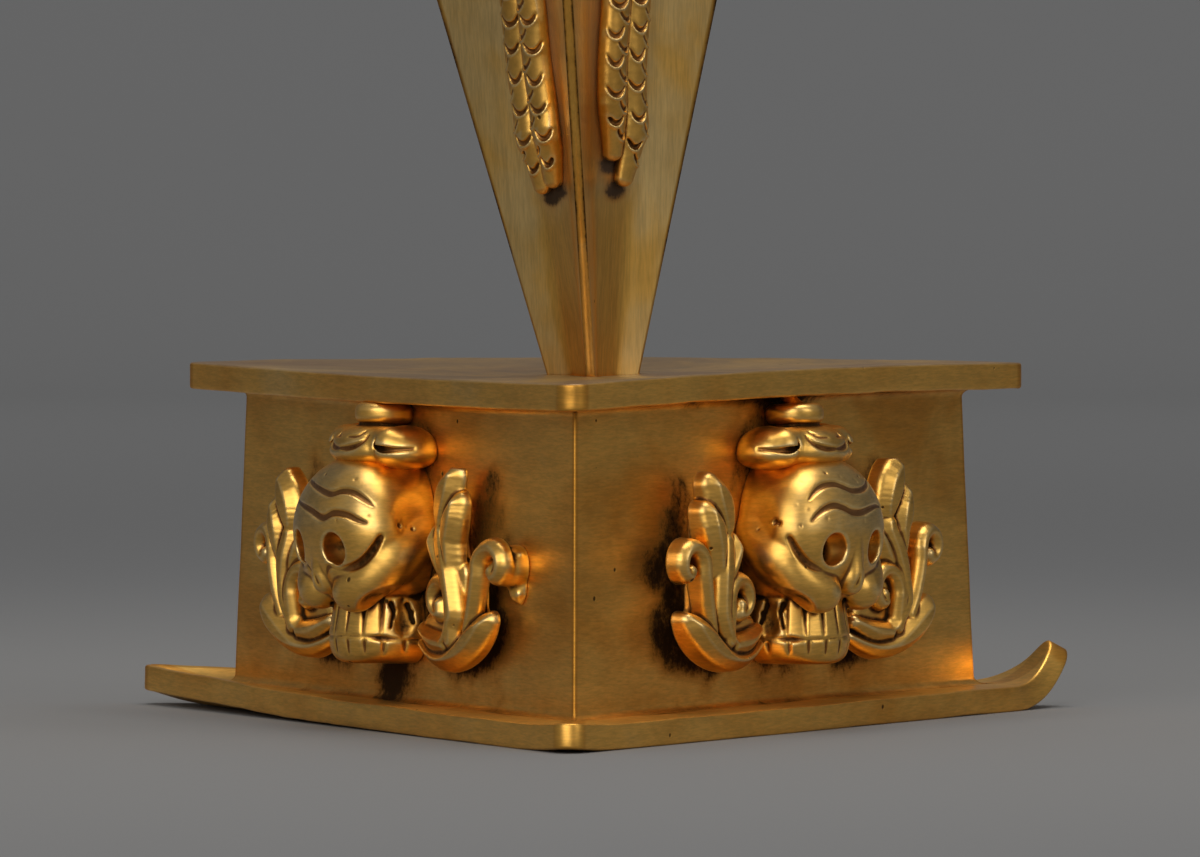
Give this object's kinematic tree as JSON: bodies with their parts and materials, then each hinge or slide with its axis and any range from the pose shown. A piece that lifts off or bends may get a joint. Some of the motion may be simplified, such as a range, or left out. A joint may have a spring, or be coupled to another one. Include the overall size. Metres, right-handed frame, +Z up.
{
  "type": "phurba ritual dagger with stand",
  "caption": "Three-finned ritual dagger leaning in a hollow three-sided stand whose walls carry skull and scroll reliefs; the dagger lifts out of its socket.",
  "frame": {"origin": "on the surface the stand rests on, below the centre of the three-sided stand", "axes": "+Z up, one corner of the stand along -Y, so -Y faces the viewer; the dagger leans 2.7 degrees towards -X"},
  "size_m": [0.1014, 0.0911, 0.2301],
  "materials": {
    "plate_gilding": "hand-burnished gilding over brass, worn and brown with handling, darker near the ornaments",
    "blade_gilding": "burnished gilding with fine scratches along the blade",
    "carved_gilding": "gilding with dark residue in the cut scales",
    "ornament_gilding": "bright burnished high spots, brown-black patina in the recesses",
    "handle_gilding": "burnished gilding with patina in the recesses",
    "bare_brass": "dull unpolished brass",
    "tang_steel": "dull forged iron"
  },
  "bodies": {
    "stand": {"base_plate": "plate_gilding", "stand_wall": "plate_gilding", "top_plate": "plate_gilding", "skull_front_right": "ornament_gilding", "skull_front_left": "ornament_gilding", "skull_back": "ornament_gilding", "topknot_front_right": "ornament_gilding", "topknot_front_left": "ornament_gilding", "topknot_back": "ornament_gilding", "right_scroll_front_right": "ornament_gilding", "right_scroll_front_left": "ornament_gilding", "right_scroll_back": "ornament_gilding", "left_scroll_front_right": "ornament_gilding", "left_scroll_front_left": "ornament_gilding", "left_scroll_back": "ornament_gilding", "fixing_pins": "bare_brass"},
    "dagger": {"blade": "blade_gilding", "naga_pair_front_right": "carved_gilding", "naga_pair_front_left": "carved_gilding", "naga_pair_back": "carved_gilding", "makara_head": "handle_gilding", "lower_lotus": "handle_gilding", "lower_knot": "handle_gilding", "grip": "handle_gilding", "upper_knot": "handle_gilding", "upper_lotus": "handle_gilding", "half_vajra": "handle_gilding", "tang_rod": "tang_steel"}
  },
  "joints": [
    {"name": "dagger_lift", "type": "slide", "parent": "stand", "child": "dagger", "axis": [-0.0471, 0, 0.9989], "range_m": [0, 0.04]}
  ]
}
